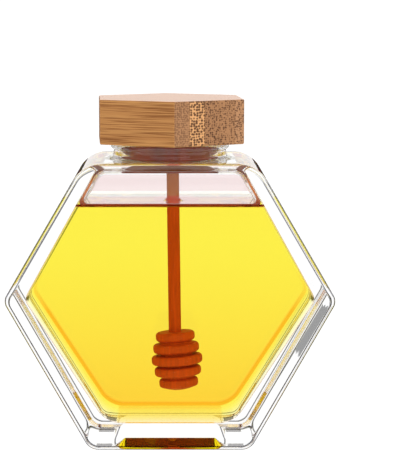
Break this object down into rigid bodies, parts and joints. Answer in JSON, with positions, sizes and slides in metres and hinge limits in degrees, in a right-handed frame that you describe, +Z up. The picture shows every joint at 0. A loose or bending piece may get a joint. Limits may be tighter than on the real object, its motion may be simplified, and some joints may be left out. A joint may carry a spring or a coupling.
{
  "type": "honey jar with dipper",
  "caption": "Thick hexagonal glass jar of honey on its flat side, shut by a hexagonal bamboo lid whose stopper holds a ribbed dipper.",
  "frame": {"origin": "middle of the base, at the height of the surface that the jar stands on", "axes": "+X across the broad hexagonal face, +Y from the front broad face to the back one, +Z up through the lid"},
  "size_m": [0.1184, 0.0598, 0.126],
  "materials": {
    "clear_glass": "clear, polished",
    "honey": "clear golden honey",
    "bamboo": "fine sanded laminated bamboo",
    "stopper_wood": "turned, matt",
    "dipper_wood": "turned, soaked in honey below its level"
  },
  "bodies": {
    "root": {"jar": "clear_glass", "honey": "honey", "lid": "bamboo", "stopper": "stopper_wood", "dipper": "dipper_wood"}
  },
  "joints": []
}
